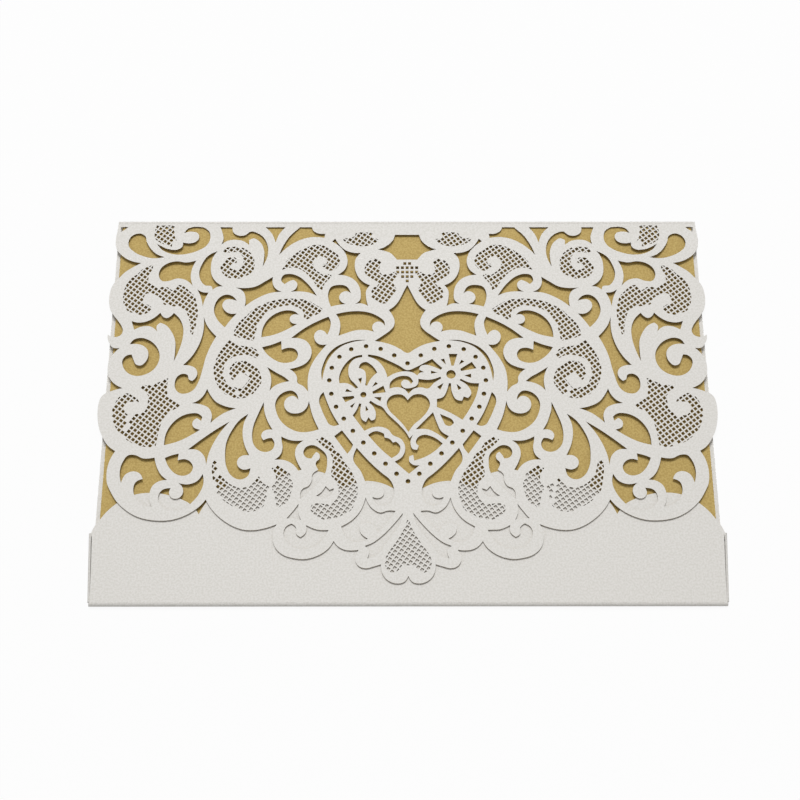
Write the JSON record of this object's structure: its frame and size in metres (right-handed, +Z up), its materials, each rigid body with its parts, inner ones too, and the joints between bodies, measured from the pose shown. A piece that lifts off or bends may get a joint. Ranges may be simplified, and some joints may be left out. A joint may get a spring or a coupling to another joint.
{
  "type": "invitation card",
  "caption": "Folded invitation card: laser-cut lace cover with a heart medallion and a scalloped pocket, holding a plain gold insert card.",
  "frame": {"origin": "centre of the card's outline, on the flat back that it lies on", "axes": "+X across the card along its longer side, +Y towards the top fold, +Z up out of the decorated front"},
  "size_m": [0.1884, 0.127, 0.0024],
  "materials": {
    "pearl_card": "pearlescent ivory-white card, about 280 g/m2",
    "gold_card": "pearlescent gold card, about 300 g/m2"
  },
  "bodies": {
    "root": {"laser_cut_cover": "pearl_card", "gold_insert_card": "gold_card"}
  },
  "joints": []
}
